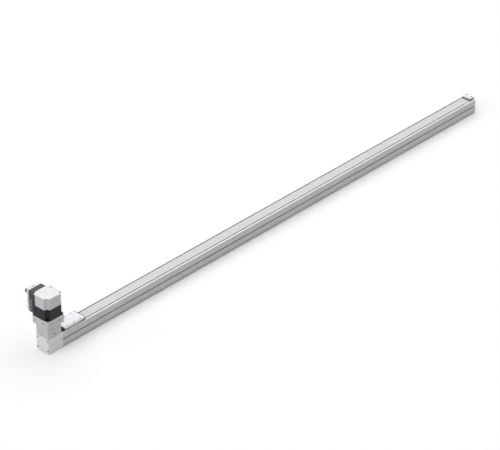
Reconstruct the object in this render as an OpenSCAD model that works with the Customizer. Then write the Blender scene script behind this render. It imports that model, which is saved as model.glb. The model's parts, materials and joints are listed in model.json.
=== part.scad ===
// Belt driven linear axis with an upright stepper drive, in millimetres.
// +X runs along the travel, away from the drive, and +Z points up.
// The origin lies on the base plane, under the turning axis of the drive pulley.

/* [Travel] */
// Travel of the slide
stroke = 1800; // [200:10:2400]
// Gap between the drive block and the parked slide
park_gap = 5.5; // [5:0.5:40]
// Gap between the slide and the end cover at full travel
end_gap = 10; // [8:0.5:60]

/* [Profile] */
// Width of the extruded profile and of the blocks at its ends
profile_w = 50; // [48:0.5:62]
// Height of the extruded profile and of the blocks at its ends
profile_h = 50.5; // [50:0.5:62]
// Thickness of the profile floor under the guide rail
floor_t = 12; // [11:0.5:13]
// Width of the inner channel
channel_w = 35.4; // [34:0.2:36.5]
// Width of the cover strip
strip_w = 31.6; // [30:0.2:32]
// Thickness of the cover strip
strip_t = 1; // [0.4:0.1:1]
// Open slot on each side of the cover strip
slot_gap = 3.5; // [3.3:0.1:4]
// Chamfer along the upper outer edges of the profile
edge_chamfer = 1.4; // [0.5:0.1:1.6]

/* [Side slots] */
// Height of the middle of the side slots
side_slot_z = 27.25; // [25:0.25:29]
// Mouth of the side slots
side_slot_mouth = 4.5; // [4.2:0.1:6]
// Width of the side slots behind the lips
side_slot_w = 8.5; // [7.5:0.5:9.5]
// Lip thickness of the side slots
side_slot_lip = 2; // [1.5:0.1:2.5]
// Depth of the side slots
side_slot_d = 5.8; // [5:0.1:6]
// Height of the clamp groove along the foot
foot_groove_h = 5.4; // [4:0.1:5.5]
// Lower lip under the clamp groove
foot_lip = 2.6; // [2:0.1:2.8]
// Depth of the clamp groove
foot_groove_d = 3.2; // [2:0.1:3.4]

/* [Base slots] */
// Distance of the base slots from the middle
base_slot_y = 12.5; // [12:0.5:13]
// Mouth of the base slots
base_slot_mouth = 5.2; // [4.5:0.1:6]
// Width of the base slots behind the lips
base_slot_w = 8.4; // [8:0.2:9]
// Lip thickness of the base slots
base_slot_lip = 2.5; // [2:0.1:3]
// Depth of the base slots
base_slot_d = 5.5; // [5:0.1:6]

/* [Guide] */
// Width of the guide rail
rail_w = 15; // [14:0.5:15]
// Height of the guide rail
rail_h = 10; // [9.5:0.1:10]
// Spacing of the rail screws
rail_pitch = 60; // [40:5:120]
// Width of the runner block
runner_w = 32; // [30:0.5:32]
// Length of the runner with its end caps
runner_l = 42; // [36:1:48]
// Height of the runner top above the profile floor
runner_rise = 16; // [15.5:0.1:16]

/* [Slide] */
// Length of the slide plate
slide_l = 80; // [72:1:120]
// Thickness of the slide plate
slide_t = 7; // [6:0.5:12]
// Thickness of the black slide end caps
slide_cap_t = 3.5; // [3:0.5:6]
// Spacing of the slide threads along the travel
thread_x = 26; // [22:1:30]
// Spacing of the slide threads across the travel
thread_y = 40; // [38:0.5:40]
// Core diameter of the slide threads
thread_d = 4.2; // [3.3:0.1:5]
// Length of the saddle inside the profile
saddle_l = 50; // [44:1:52]

/* [Belt] */
// Pitch of the belt teeth
belt_pitch = 3; // [2:0.5:3]
// Width of the belt
belt_w = 10; // [8:0.5:10]
// Teeth on both pulleys
pulley_teeth = 28; // [26:2:28]

/* [Drive block] */
// Length of the drive block
block_l = 58.5; // [57:0.5:80]
// Distance from the outer face of the drive block to the pulley axis
block_front = 26.25; // [25:0.25:30]

/* [Coupling housing] */
// Length of the coupling housing along the axis
housing_l = 52.5; // [50:0.5:56]
// Height of the coupling housing under its flange
housing_h = 43.5; // [43:0.5:60]
// Side of the two square flanges
flange_side = 66.8; // [66.4:0.2:72]
// Thickness of the housing flange
flange_t = 12; // [10:0.5:16]

/* [Motor] */
// Side of the square motor frame
motor_w = 66.4; // [66:0.2:68]
// Spacing of the motor flange screws
motor_bolt = 55.2; // [54.8:0.1:56]
// Thickness of the motor flange
motor_flange_t = 12.2; // [9:0.2:14]
// Height of the stator stack
stack_h = 37.7; // [36:0.1:80]
// Height of the end bell above the stack
bell_h = 37.3; // [36:0.1:60]
// Depth of the notches along the four corners of the motor
corner_notch = 11.2; // [10.8:0.1:11.6]

/* [Electronics] */
// Thickness of the electronics frame outside the motor
frame_t = 13.2; // [12:0.2:16]
// Thickness of the electronics cover
cover_t = 12; // [12:0.5:20]
// Height of the electronics box
box_h = 72; // [70:0.5:74]
// Length of the electronics box along the axis
box_l = 51; // [46:1:54]
// Setback of the box from the front of the motor
box_setback = 3.2; // [2:0.1:4]
// Reach of the box over the top of the motor
box_lap = 5.2; // [3:0.1:6]
// Reach of the box round the front corner of the motor
box_wrap = 15.6; // [15:0.1:17]
// Travel of the keys
key_travel = 0.6; // [0.3:0.1:0.8]
// Length of the connector barrels
connector_l = 12; // [10:0.5:16]

/* [Far end] */
// Thickness of the end cap
cap_t = 11; // [10.5:0.5:20]
// Length of the raised end cover
end_cover_l = 20; // [18:0.5:30]
// Height of the raised end cover with its seal
end_cover_h = 7.5; // [7:0.5:10]

/* [Hidden] */
$fn = 48;
fit = 0.02;            // clearance of seats and shafts that don't turn
run = 0.3;             // clearance of pieces that slide past each other
eps = 0.01;
half_w = profile_w / 2;
mouth_y = strip_w / 2 + slot_gap;

// Places along the axis
profile_x0 = block_l - block_front;
slide_x = profile_x0 + park_gap + slide_cap_t + slide_l / 2;
slide_reach = slide_l / 2 + slide_cap_t;
end_cover_lap = end_cover_l - cap_t;
profile_x1 = slide_x + slide_reach + stroke + end_gap + end_cover_lap;
cap_x1 = profile_x1 + cap_t;

// Belt and pulleys
pitch_r = pulley_teeth * belt_pitch / (2 * PI);
pitch_line = 0.381;
land_r = pitch_r - pitch_line;
belt_back = 1.18;
tooth_h = 1.2;
tooth_root_w = 0.7 * belt_pitch;
tooth_tip_w = 0.48 * belt_pitch;
flange_r = land_r + 2.2;
pulley_flange_t = 1;
idler_margin = 18;     // pulley axis to the farthest point that the saddle reaches
half_pitch = belt_pitch / 2;
idler_x = ceil((slide_x + saddle_l / 2 + stroke + idler_margin) / half_pitch) * half_pitch;

// Heights of the guide, the belt and the slide
rail_z = floor_t;
runner_z1 = floor_t + runner_rise;
foot_t = 2.4;
belt_z = runner_z1 + foot_t + 0.6;
belt_z1 = belt_z + belt_w;
pulley_z = belt_z - run;
pulley_z1 = belt_z1 + run;
strip_z1 = profile_h - 0.2;
strip_z = strip_z1 - strip_t;
bar_z1 = strip_z - 0.8;
bar_t = 3.2;
bar_z = bar_z1 - bar_t;
web_z = profile_h + 0.7;
web_t = 3.8;
slide_z = web_z + web_t;
slide_z1 = slide_z + slide_t;
tongue_w = 2 * (land_r - tooth_h) - 1;
wide_z = bar_z - 1.3;

// Drive heights
pocket_r = flange_r + 0.8;
lower_bearing_z = pulley_z - pulley_flange_t - 0.9 - 8;
bearing_w = 8;
spigot_h = 5;
upper_bearing_z = profile_h - 3.5;
hub_z = upper_bearing_z + bearing_w + 2.6;
hub_h = 11.4;
jaw_gap = 10;
hub_r = 15;
housing_bore_r = 18.5;
upper_hub_z = hub_z + hub_h + jaw_gap;
upper_hub_h = 13;
flange_z = profile_h + housing_h;
pad_z = flange_z + flange_t;
pad_t = 0.8;
motor_flange_z = pad_z + pad_t;
stack_z = motor_flange_z + motor_flange_t;
bell_z = stack_z + stack_h;
bell_z1 = bell_z + bell_h;
set_screw_z = hub_z + 4.4;
shaft_r = 5;
motor_shaft_r = 4;
rear_shaft_r = 3;
motor_bearing_r = 11;
motor_bearing_w = 7;

// Screw places
corner_y = half_w - 3.6;
corner_z = [11, profile_h - 5.3];
corner_d = 3;
housing_bolt_x = housing_l / 2 - 5.75;
housing_bolt_y = half_w - 7.9;
clamp_x = profile_x0 - 3;
clamp_y = strip_w / 2 - 4.8;

// Electronics box
box_x0 = box_setback - motor_w / 2;
box_x1 = box_x0 + box_l;
box_y0 = motor_w / 2 - box_lap;
frame_y = motor_w / 2;
frame_y1 = frame_y + frame_t;
cover_y1 = frame_y1 + cover_t;
box_z1 = bell_z1 + 1.2;
box_z0 = box_z1 - box_h;
box_wall = 2;
key_y = (box_y0 + frame_y1) / 2;
key_z = [box_z0 + 11, box_z0 + 25, box_z0 + 39];
key_size = [7, 6];
key_rim = 1;
connector_x = [box_x0 + 14, box_x0 + 35];
connector_z = box_z1 - 15.5;
connector_r = 6;

// ---- Helpers ----

// Box between two corners
module block(low, high) {
    translate(low) cube(high - low);
}

// Rectangle centred on the origin with chamfered corners
module chamfered_rect(w, h, c) {
    x = w / 2;
    y = h / 2;
    polygon([[-x + c, -y], [x - c, -y], [x, -y + c], [x, y - c],
             [x - c, y], [-x + c, y], [-x, y - c], [-x, -y + c]]);
}

// Rectangle centred on the origin with round corners
module rounded_rect(w, h, r) {
    square([w - 2 * r, h], center = true);
    square([w, h - 2 * r], center = true);
    for (sx = [-1, 1], sy = [-1, 1]) translate([sx * (w / 2 - r), sy * (h / 2 - r)]) circle(r);
}

// Box with all its edges chamfered
module chamfered_block(low, high, c) {
    s = high - low;
    translate((low + high) / 2) intersection() {
        linear_extrude(s.z, center = true) chamfered_rect(s.x, s.y, c);
        rotate([90, 0, 0]) linear_extrude(s.y, center = true) chamfered_rect(s.x, s.z, c);
        rotate([90, 0, 90]) linear_extrude(s.x, center = true) chamfered_rect(s.y, s.z, c);
    }
}

// Children, given as a section in Y and Z, drawn out along X
module along_x(x0, x1) {
    translate([x0, 0, 0]) rotate([90, 0, 90]) linear_extrude(x1 - x0) children();
}

// Children turned to point the other way
module flip() {
    rotate([180, 0, 0]) children();
}

// Cylinder from one height to another
module post(r, z0, z1) {
    translate([0, 0, z0]) cylinder(r = r, h = z1 - z0);
}

// Socket head screw pointing down, with the underside of its head at the origin
module cap_screw(d, l) {
    difference() {
        union() {
            cylinder(d = 1.8 * d, h = d);
            translate([0, 0, -l]) cylinder(d = d, h = l + eps);
        }
        translate([0, 0, 0.5 * d]) cylinder(d = 0.95 * d, h = d, $fn = 6);
    }
}

// Countersunk screw pointing down, with the top of its head at the origin
module flat_screw(d, l) {
    difference() {
        union() {
            translate([0, 0, -d / 2]) cylinder(r1 = d / 2, r2 = d, h = d / 2);
            translate([0, 0, -l]) cylinder(d = d, h = l - d / 2 + eps);
        }
        translate([0, 0, -0.4 * d]) cylinder(d = 0.75 * d, h = d, $fn = 6);
    }
}

// Hole for a socket head screw, open above its head
module cap_hole(d, l, head_l) {
    translate([0, 0, -l]) cylinder(d = d + 2 * fit, h = l + eps);
    cylinder(d = 1.8 * d + 0.4, h = head_l);
}

// Hole for a countersunk screw, open above its head
module flat_hole(d, l) {
    translate([0, 0, -l]) cylinder(d = d + 2 * fit, h = l);
    translate([0, 0, -d / 2 - fit]) cylinder(r1 = d / 2 + fit, r2 = d + 2 * fit, h = d / 2 + fit + eps);
    cylinder(r = d + 2 * fit, h = 1);
}

// Ball bearing: ball size and race radii follow from the bore and the outer radius
function ball_r(bore, outer) = 0.3 * (outer - bore);
function race_r(bore, outer) = (bore + outer) / 2;

module race_groove(bore, outer, w) {
    translate([0, 0, w / 2]) rotate_extrude() translate([race_r(bore, outer), 0])
        circle(ball_r(bore, outer) + 0.05);
}

module bearing_outer(bore, outer, w, balls) {
    difference() {
        cylinder(r = outer - fit, h = w);
        translate([0, 0, -1]) cylinder(r = race_r(bore, outer) + 0.75 * ball_r(bore, outer), h = w + 2);
        race_groove(bore, outer, w);
    }
    for (i = [0 : balls - 1]) rotate(360 * i / balls) translate([race_r(bore, outer), 0, w / 2])
        sphere(ball_r(bore, outer));
}

module bearing_inner(bore, outer, w) {
    difference() {
        cylinder(r = race_r(bore, outer) - 0.75 * ball_r(bore, outer), h = w);
        translate([0, 0, -1]) cylinder(r = bore + fit, h = w + 2);
        race_groove(bore, outer, w);
    }
}

// ---- Profile and guide ----

module corner_screw_places() {
    for (sy = [-1, 1], z = corner_z) translate([0, sy * corner_y, z]) children();
}

// Nut slot cut into a face at y = 0, towards -y
module slot_section(mouth, lip, w, d) {
    translate([-mouth / 2, -lip - eps]) square([mouth, lip + 1]);
    translate([-w / 2, -d]) square([w, d - lip]);
}

module profile_section() {
    difference() {
        translate([-half_w, 0]) square([profile_w, profile_h]);
        for (s = [-1, 1]) {
            // chamfer along the upper outer edge
            translate([s * half_w, profile_h]) rotate(45)
                square(edge_chamfer * sqrt(2), center = true);
            // nut slot in the side
            translate([s * half_w, side_slot_z]) rotate(-s * 90)
                slot_section(side_slot_mouth, side_slot_lip, side_slot_w, side_slot_d);
            // clamp groove along the foot
            translate([s > 0 ? half_w - foot_groove_d : -half_w - 1, foot_lip])
                square([foot_groove_d + 1, foot_groove_h]);
            // nut slot in the base
            translate([s * base_slot_y, 0]) rotate(180)
                slot_section(base_slot_mouth, base_slot_lip, base_slot_w, base_slot_d);
        }
        translate([-channel_w / 2, floor_t]) square([channel_w, profile_h]);
        translate([-mouth_y, wide_z]) square([2 * mouth_y, profile_h]);
    }
}

rail_x0 = profile_x0 + 0.8;
rail_x1 = idler_x + flange_r - 1;
rail_count = floor((rail_x1 - rail_x0 - 20) / rail_pitch) + 1;
rail_first = (rail_x0 + rail_x1 - (rail_count - 1) * rail_pitch) / 2;

module rail_screw_places() {
    for (i = [0 : rail_count - 1]) translate([rail_first + i * rail_pitch, 0, 0]) children();
}

module profile() {
    color([0.72, 0.72, 0.74]) difference() {
        along_x(profile_x0, profile_x1) profile_section();
        for (x = [profile_x0 - 1, profile_x1 - 14]) corner_screw_places()
            translate([x, 0, 0]) rotate([0, 90, 0]) cylinder(d = corner_d + 2 * fit, h = 15);
        rail_screw_places() post(1.5 + fit, floor_t - 4.5, floor_t + 1);
    }
}

// Section of the rail, grown by a clearance for what runs on it
module rail_section(c) {
    groove_r = 1.9;
    difference() {
        translate([-rail_w / 2 - c, rail_z - c]) square([rail_w + 2 * c, rail_h + 2 * c]);
        for (s = [-1, 1]) translate([s * (rail_w / 2 + 0.6), rail_z + 0.6 * rail_h])
            circle(groove_r - c);
    }
}

rail_seat = rail_h - 4;     // height of the screw seats above the foot of the rail

module guide_rail() {
    color([0.62, 0.63, 0.65]) difference() {
        along_x(rail_x0, rail_x1) rail_section(0);
        rail_screw_places() translate([0, 0, rail_z + rail_seat]) cap_hole(3, rail_seat + 1, 5);
    }
}

module rail_screws() {
    color([0.3, 0.3, 0.32]) rail_screw_places()
        translate([0, 0, rail_z + rail_seat]) cap_screw(3, rail_seat + 4);
}

strip_x0 = profile_x0 - 5.3;
strip_x1 = profile_x1 + 8.2;
end_bolt_x = profile_x1 + 5.2;

module cover_strip() {
    color([0.84, 0.84, 0.85]) difference() {
        block([strip_x0, -strip_w / 2, strip_z], [strip_x1, strip_w / 2, strip_z1]);
        for (s = [-1, 1], x = [clamp_x, end_bolt_x]) translate([x, s * clamp_y, 0])
            post(1.5 + 0.1, strip_z - 1, strip_z1 + 1);
    }
}

// ---- Drive block ----

module housing_bolt_places() {
    for (sx = [-1, 1], sy = [-1, 1]) translate([sx * housing_bolt_x, sy * housing_bolt_y, 0])
        children();
}

module drive_block() {
    relief_r = 8;
    color([0.78, 0.78, 0.8]) difference() {
        chamfered_block([-block_front, -half_w, 0], [profile_x0, half_w, profile_h], 0.8);
        // pulley pocket and the way of the belt
        post(pocket_r, pulley_z - pulley_flange_t - 0.9, profile_h + 1);
        block([0, -pocket_r, pulley_z - pulley_flange_t - 0.3],
              [profile_x0 + 1, pocket_r, pulley_z1 + pulley_flange_t + 0.3]);
        // seat of the lower bearing
        post(13, lower_bearing_z, profile_h);
        post(relief_r, lower_bearing_z - 3, profile_h);
        // corner screws, let in at the outer face
        corner_screw_places() {
            translate([-block_front - 1, 0, 0]) rotate([0, 90, 0])
                cylinder(d = corner_d + 0.4, h = block_l + 2);
            translate([-block_front - 1, 0, 0]) rotate([0, 90, 0]) cylinder(r = 3, h = 4.4);
        }
        housing_bolt_places() post(2 + fit, profile_h - 6.5, profile_h + 1);
        // seat of the cover strip and of its clamp
        block([strip_x0 - 0.2, -strip_w / 2 - 0.2, strip_z],
              [profile_x0 + 1, strip_w / 2 + 0.2, profile_h + 1]);
        for (s = [-1, 1]) translate([clamp_x, s * clamp_y, 0])
            post(1.5 + fit, strip_z - 4, strip_z + 1);
        // threads in the base
        for (sx = [-1, 1], sy = [-1, 1]) translate([sx * 16, sy * 16, 0]) post(2.1, -1, 9);
    }
}

module block_screws() {
    color([0.25, 0.25, 0.27]) corner_screw_places() {
        translate([-block_front + 3.4, 0, 0]) rotate([0, -90, 0])
            cap_screw(corner_d, block_l - 3.4 + 12);
    }
}

module strip_clamp() {
    color([0.8, 0.8, 0.82]) difference() {
        block([strip_x0 + 0.3, -strip_w / 2 + 0.4, strip_z1],
              [profile_x0 - 0.4, strip_w / 2 - 0.4, strip_z1 + 1.5]);
        for (s = [-1, 1]) translate([clamp_x, s * clamp_y, strip_z1 + 1.5]) flat_hole(2.5, 4);
    }
}

module strip_clamp_screws() {
    color([0.25, 0.25, 0.27]) for (s = [-1, 1]) {
        translate([clamp_x, s * clamp_y, strip_z1 + 1.5]) flat_screw(2.5, 6);
        translate([end_bolt_x, s * clamp_y, profile_h + end_cover_h])
            flat_screw(3, end_cover_h + 6);
    }
}

// ---- Coupling housing ----

plug_r = 3.5;

// Places of the two access plugs, with +Z of each pointing out of the housing
module plug_places() {
    translate([-housing_l / 2, 0, set_screw_z]) rotate([0, -90, 0]) children();
    translate([0, -half_w, set_screw_z]) rotate([90, 0, 0]) children();
}

module coupling_housing() {
    bolt_seat_z = profile_h + 7;
    color([0.7, 0.7, 0.72]) difference() {
        union() {
            chamfered_block([-housing_l / 2, -half_w, profile_h], [housing_l / 2, half_w, flange_z + 2], 0.6);
            translate([0, 0, flange_z]) linear_extrude(flange_t) chamfered_rect(flange_side, flange_side, 3);
            post(pocket_r - fit, profile_h - spigot_h, profile_h + 1);
        }
        // seat of the upper bearing
        post(13, profile_h - spigot_h - 1, upper_bearing_z + bearing_w);
        post(8.5, profile_h, hub_z);
        // chamber of the coupling, and the seat of the motor pilot
        post(housing_bore_r, hub_z - 0.6, pad_z + 1);
        post(19.05 + 0.05, pad_z - 2, pad_z + 1);
        housing_bolt_places() {
            post(2.2, profile_h - 1, bolt_seat_z + 1);
            post(3.8, bolt_seat_z, pad_z + 1);
        }
        motor_bolt_places() post(2.5 + fit, flange_z + 3, pad_z + 1);
        plug_places() translate([0, 0, -12]) cylinder(r = plug_r, h = 13);
    }
}

module housing_screws() {
    color([0.25, 0.25, 0.27]) housing_bolt_places()
        translate([0, 0, profile_h + 7]) cap_screw(4, 13);
}

module access_plugs() {
    color([0.45, 0.45, 0.47]) plug_places() translate([0, 0, -2.6]) difference() {
        cylinder(r = plug_r - fit, h = 2.2);
        translate([0, 0, 1.2]) cylinder(d = 3, h = 2, $fn = 6);
    }
}

module bearing_outers() {
    color([0.75, 0.76, 0.78]) {
        translate([0, 0, lower_bearing_z]) bearing_outer(shaft_r, 13, bearing_w, 9);
        translate([0, 0, upper_bearing_z]) bearing_outer(shaft_r, 13, bearing_w, 9);
        translate([0, 0, front_bearing_z]) bearing_outer(motor_shaft_r, motor_bearing_r, motor_bearing_w, 7);
        translate([0, 0, rear_bearing_z]) bearing_outer(motor_shaft_r, motor_bearing_r, motor_bearing_w, 7);
    }
}

// ---- Motor ----

front_bearing_z = stack_z - motor_bearing_w - 0.6;
rear_plate_t = 9;
rear_bearing_z = bell_z + 1;

pad_r = 31;            // raised pad between the two flanges

module motor_bolt_places() {
    for (sx = [-1, 1], sy = [-1, 1])
        translate([sx * motor_bolt / 2, sy * motor_bolt / 2, 0]) children();
}

// Square section of the motor with a notch along each corner
module motor_section(side, notch) {
    inner_r = 8;
    difference() {
        square(side, center = true);
        for (sx = [-1, 1], sy = [-1, 1]) translate([sx * side / 2, sy * side / 2])
            rounded_rect(2 * notch, 2 * notch, inner_r);
    }
}

module motor_flange() {
    color([0.74, 0.74, 0.76]) difference() {
        union() {
            translate([0, 0, motor_flange_z]) linear_extrude(motor_flange_t)
                chamfered_rect(flange_side, flange_side, 3);
            post(pad_r, pad_z, motor_flange_z + 1);
            post(19.05, pad_z - 1.6, pad_z + 1);
        }
        post(motor_bearing_r, front_bearing_z, stack_z + 1);
        post(6, pad_z - 3, stack_z);
        motor_bolt_places() post(2.5 + 0.2, pad_z - 3, stack_z + 1);
        bell_screw_places() post(3, pad_z - 1, motor_flange_z + 3);
        bell_screw_places() post(1.5 + fit, pad_z - 1, stack_z + 1);
        // slots for levering the flanges apart
        for (a = [0 : 90 : 270]) rotate(a)
            block([-flange_side / 2 - 1, -16, pad_z - 1], [-flange_side / 2 + 4, -9, pad_z + 2.4]);
    }
}

module motor_screws() {
    color([0.25, 0.25, 0.27]) motor_bolt_places()
        translate([0, 0, stack_z]) cap_screw(5, motor_flange_t + 9);
}

pole_r = 14.1;
yoke_r = 23;
pole_z0 = stack_z + 5;
pole_z1 = bell_z - 5;

// Eight poles of the stator on a thin ring, each with a shoe that follows the bore
module pole_section(w) {
    difference() {
        union() {
            intersection() {
                circle(yoke_r + 0.5);
                for (i = [0 : 7]) rotate(45 * i) translate([0, -w / 2]) square([yoke_r + 1, w]);
            }
            intersection() {
                circle(pole_r + 1.6);
                for (i = [0 : 7]) rotate(45 * i) translate([0, -4]) square([yoke_r, 8]);
            }
        }
        circle(pole_r);
    }
}

module stator_stack() {
    color([0.1, 0.1, 0.11]) {
        difference() {
            translate([0, 0, stack_z]) linear_extrude(stack_h) motor_section(motor_w, corner_notch);
            post(yoke_r, stack_z - 1, bell_z + 1);
            bell_screw_places() post(1.5 + fit, stack_z - 1, bell_z + 1);
        }
        translate([0, 0, pole_z0]) linear_extrude(pole_z1 - pole_z0) pole_section(5);
    }
}

module stator_coils() {
    color([0.72, 0.42, 0.2]) for (i = [0 : 7]) rotate(45 * i) difference() {
        block([pole_r + 1.9, -4.6, pole_z0 - 3], [yoke_r - 0.9, 4.6, pole_z1 + 3]);
        block([pole_r, -2.55, pole_z0 - 0.05], [yoke_r, 2.55, pole_z1 + 0.05]);
    }
}

bell_screw_r = motor_w / 2 - 4;

module bell_screw_places() {
    for (a = [0 : 90 : 270]) rotate(a) translate([bell_screw_r, 0, 0]) children();
}

cavity_r = 22;

module end_bell() {
    bevel = 0.8;
    side = motor_w - 0.4;
    color([0.82, 0.82, 0.83]) difference() {
        intersection() {
            translate([0, 0, bell_z]) linear_extrude(bell_h) motor_section(side, corner_notch - 0.2);
            chamfered_block([-side / 2, -side / 2, bell_z - 10], [side / 2, side / 2, bell_z1], bevel);
        }
        post(cavity_r, bell_z - 1, bell_z1 - 4);
        bell_screw_places() post(1.5 + fit, bell_z - 1, bell_z + 12);
        frame_screw_places() translate([0, 0, -9]) cylinder(r = 1.25 + fit, h = 10);
    }
}

module rear_bearing_plate() {
    color([0.7, 0.7, 0.72]) difference() {
        post(cavity_r - fit, bell_z, bell_z + rear_plate_t);
        post(motor_bearing_r, bell_z - 1, rear_bearing_z + motor_bearing_w);
        post(motor_shaft_r + 2, bell_z, bell_z + rear_plate_t + 1);
    }
}

module end_bell_screws() {
    color([0.25, 0.25, 0.27]) bell_screw_places()
        translate([0, 0, motor_flange_z + 3]) rotate([180, 0, 0])
            cap_screw(3, bell_z + 11 - motor_flange_z - 3);
}

// ---- Electronics box ----

module cover_screw_places() {
    // screws through the outer face of the cover into the frame
    for (x = [box_x0 + 7, box_x1 - 5], z = [box_z0 + 4, box_z1 - 4])
        translate([x, frame_y1, z]) rotate([-90, 0, 0]) children();
}

module frame_screw_places() {
    // screws through the back of the frame into the end bell
    for (x = [-10, 8]) translate([x, frame_y + 2.2, bell_z + 22]) rotate([-90, 0, 0]) children();
}

module electronics_frame() {
    rib_t = 1.2;
    color([0.16, 0.16, 0.17]) difference() {
        union() {
            chamfered_block([box_x0, box_y0, box_z0], [box_x1, frame_y1, box_z1], 0.8);
            // rib in the front corner of the motor, with a lip along its front
            chamfered_block([-motor_w / 2 - rib_t, motor_w / 2 - box_wrap, box_z0 + 9],
                            [corner_notch - motor_w / 2 + 1, box_y0 + 1, bell_z1], 0.4);
        }
        // seat on the motor
        translate([0, 0, box_z0 - 1]) linear_extrude(bell_z1 + 1.1 - box_z0)
            motor_section(motor_w + 0.2, corner_notch);
        motor_bolt_places() post(5, box_z0 - 1, stack_z + 5.6);
        // room for the circuit board, open towards the cover
        difference() {
            block([box_x0 + box_wall, frame_y + 2.2, box_z0 + box_wall],
                  [box_x1 - box_wall, frame_y1 + 1, box_z1 - box_wall]);
            cover_screw_places() translate([0, 0, -frame_t]) cylinder(r = 3.3, h = frame_t + 1);
        }
        // room for the rims of the keys
        block([box_x0 + box_wall, key_y - key_size.x / 2 - key_rim - run, key_z[0] - key_size.y],
              [box_x0 + box_wall + 2.2, frame_y + 3, key_z[2] + key_size.y]);
        // pocket of the control panel, and the windows of the keys
        block([box_x0 - 1, panel_y[0], panel_z[0]], [box_x0 + panel_t, panel_y[1], panel_z[1]]);
        for (z = key_z) translate([box_x0 - 1, key_y, z]) key_window(0.25);
        cover_screw_places() translate([0, 0, -frame_t + 2]) cylinder(r = 1.25 + fit, h = frame_t);
        frame_screw_places() translate([0, 0, -3]) cylinder(r = 1.25 + fit, h = 4);
    }
}

panel_t = 0.5;
panel_y = [box_y0 + 1.6, frame_y1 - 1.4];
panel_z = [box_z0 + 3, box_z0 + 47];

// Opening for a key through the front wall, grown by a clearance
module key_window(c) {
    translate([-1, -key_size.x / 2 - c, -key_size.y / 2 - c])
        cube([box_wall + 3, key_size.x + 2 * c, key_size.y + 2 * c]);
}

module control_panel() {
    color([0.27, 0.34, 0.42]) difference() {
        block([box_x0, panel_y[0] + 0.1, panel_z[0] + 0.1],
              [box_x0 + panel_t, panel_y[1] - 0.1, panel_z[1] - 0.1]);
        for (z = key_z) translate([box_x0, key_y, z]) key_window(0.25);
    }
}

// Key with its cap outside the panel and its rim behind the wall
module key(z) {
    cap_out = key_travel + 0.1;
    color([0.5, 0.58, 0.66]) {
        translate([0, key_y, z]) {
            block([box_x0 - cap_out, -key_size.x / 2, -key_size.y / 2],
                  [box_x0 + box_wall + 0.9, key_size.x / 2, key_size.y / 2]);
            block([box_x0 + box_wall, -key_size.x / 2 - key_rim, -key_size.y / 2 - key_rim],
                  [box_x0 + box_wall + 0.9, key_size.x / 2 + key_rim, key_size.y / 2 + key_rim]);
        }
    }
}

module key_top() key(key_z[2]);
module key_middle() key(key_z[1]);
module key_bottom() key(key_z[0]);

earth_x = box_x0 + 26;
board_y = frame_y1 - 2.4;
board_t = 1.6;

module circuit_board() {
    color([0.1, 0.35, 0.2]) {
        difference() {
            block([box_x0 + box_wall + 2.2, board_y, box_z0 + 3],
                  [box_x1 - 3, board_y + board_t, box_z1 - 3]);
            cover_screw_places() translate([0, 0, -5]) cylinder(r = 3.6, h = 8);
        }
    }
    color([0.12, 0.12, 0.13]) {
        // driver chips, capacitors and a transformer
        for (z = [0 : 3]) block([box_x0 + 12, board_y + board_t, box_z0 + 12 + 11 * z],
                                [box_x0 + 19, board_y + board_t + 1.2, box_z0 + 19 + 11 * z]);
        for (x = [0 : 1]) translate([box_x0 + 27 + 10 * x, board_y + board_t, box_z0 + 18])
            rotate([-90, 0, 0]) cylinder(r = 4, h = 8);
        block([box_x0 + 24, board_y + board_t, box_z0 + 28],
              [box_x0 + 40, board_y + board_t + 6, box_z0 + 44]);
    }
}

module electronics_cover() {
    corner_r = 4;
    x_in = 3;
    color([0.86, 0.86, 0.87]) difference() {
        intersection() {
            translate([0, 0, box_z0]) linear_extrude(box_h) cover_outline(x_in, corner_r, 0);
            translate([0, frame_y1 - 10, 0]) rotate([-90, 0, 0]) linear_extrude(60)
                translate([(box_x0 + box_x1) / 2, -(box_z0 + box_z1) / 2])
                    rounded_rect(box_l + 10, box_h, 2);
        }
        translate([0, 0, box_z0 + box_wall]) linear_extrude(box_h - 2 * box_wall)
            cover_outline(x_in, corner_r, box_wall);
        cover_screw_places() translate([0, 0, cover_t]) flat_hole(2.5, cover_t);
        for (x = connector_x) translate([x, cover_y1 - box_wall - 1, connector_z]) rotate([-90, 0, 0])
            cylinder(r = connector_r + fit, h = 5);
        // earth screw let into the top
        translate([earth_x, cover_y1 - 5, box_z1]) flat_hole(2.5, 3);
    }
}

// Outline of the cover in plan, drawn in by a wall
module cover_outline(x_in, r, wall) {
    x0 = box_x0 + x_in + wall;
    x1 = box_x1 - wall;
    y0 = wall > 0 ? frame_y1 - 1 : frame_y1;
    y1 = cover_y1 - wall;
    rr = max(r - wall, 0.5);
    translate([x0, y0]) square([x1 - x0, y1 - y0 - rr]);
    translate([x0 + rr, y0]) square([x1 - x0 - 2 * rr, y1 - y0]);
    translate([x0 + rr, y1 - rr]) circle(rr);
    translate([x1 - rr, y1 - rr]) circle(rr);
}

module electronics_screws() {
    color([0.25, 0.25, 0.27]) {
        cover_screw_places() translate([0, 0, cover_t]) flat_screw(2.5, cover_t + 5);
        frame_screw_places() cap_screw(2.5, 8);
        translate([earth_x, cover_y1 - 5, box_z1]) flat_screw(2.5, 4);
    }
}

// Round plug connector standing out of the cover, with its nut and its open mouth
module connector(x) {
    translate([x, cover_y1, connector_z]) rotate([-90, 0, 0]) difference() {
        union() {
            translate([0, 0, -box_wall - 3]) cylinder(r = connector_r, h = connector_l + box_wall + 3);
            cylinder(r = connector_r + 2, h = 2.5, $fn = 6);
            translate([0, 0, -box_wall - 2]) cylinder(r = connector_r + 1.8, h = 2, $fn = 6);
        }
        translate([0, 0, connector_l - 8.5]) cylinder(r = connector_r - 1.6, h = 9);
    }
}

module power_connector() color([0.8, 0.8, 0.8]) connector(connector_x[0]);
module signal_connector() color([0.8, 0.8, 0.8]) connector(connector_x[1]);

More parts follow.
